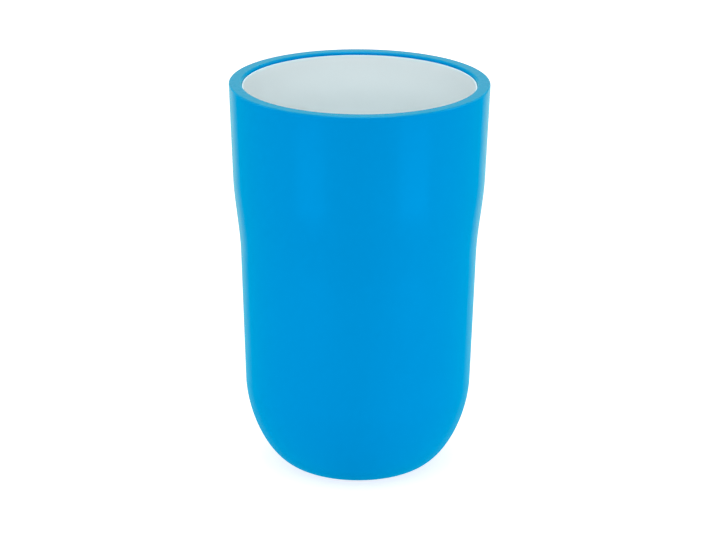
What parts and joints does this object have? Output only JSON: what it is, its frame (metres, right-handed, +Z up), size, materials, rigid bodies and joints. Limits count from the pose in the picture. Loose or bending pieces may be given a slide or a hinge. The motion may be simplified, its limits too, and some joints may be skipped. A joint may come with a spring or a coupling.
{
  "type": "bathroom tumbler",
  "caption": "Free-standing round tumbler with a thick flat rim, a soft waist and a rounded base; a white liner lifts out of its coloured shell.",
  "frame": {"origin": "on the surface that the tumbler stands on, on the tumbler's axis", "axes": "+Z up along the tumbler's axis, out of its mouth; +X and +Y lie in the standing surface"},
  "size_m": [0.0706, 0.0706, 0.11],
  "materials": {
    "shell_blue": "moulded, satin gloss, opaque cyan blue",
    "liner_white": "moulded, satin gloss, cool white",
    "seal_silicone": "matte, milky silicone",
    "foot_rubber": "matte, soft grey elastomer"
  },
  "bodies": {
    "shell": {"outer_shell": "shell_blue", "foot_ring": "foot_rubber"},
    "liner": {"inner_liner": "liner_white", "liner_seal": "seal_silicone"}
  },
  "joints": [
    {"name": "liner_lift", "type": "slide", "parent": "shell", "child": "liner", "axis": [0, 0, 1], "range_m": [0, 0.115]}
  ]
}
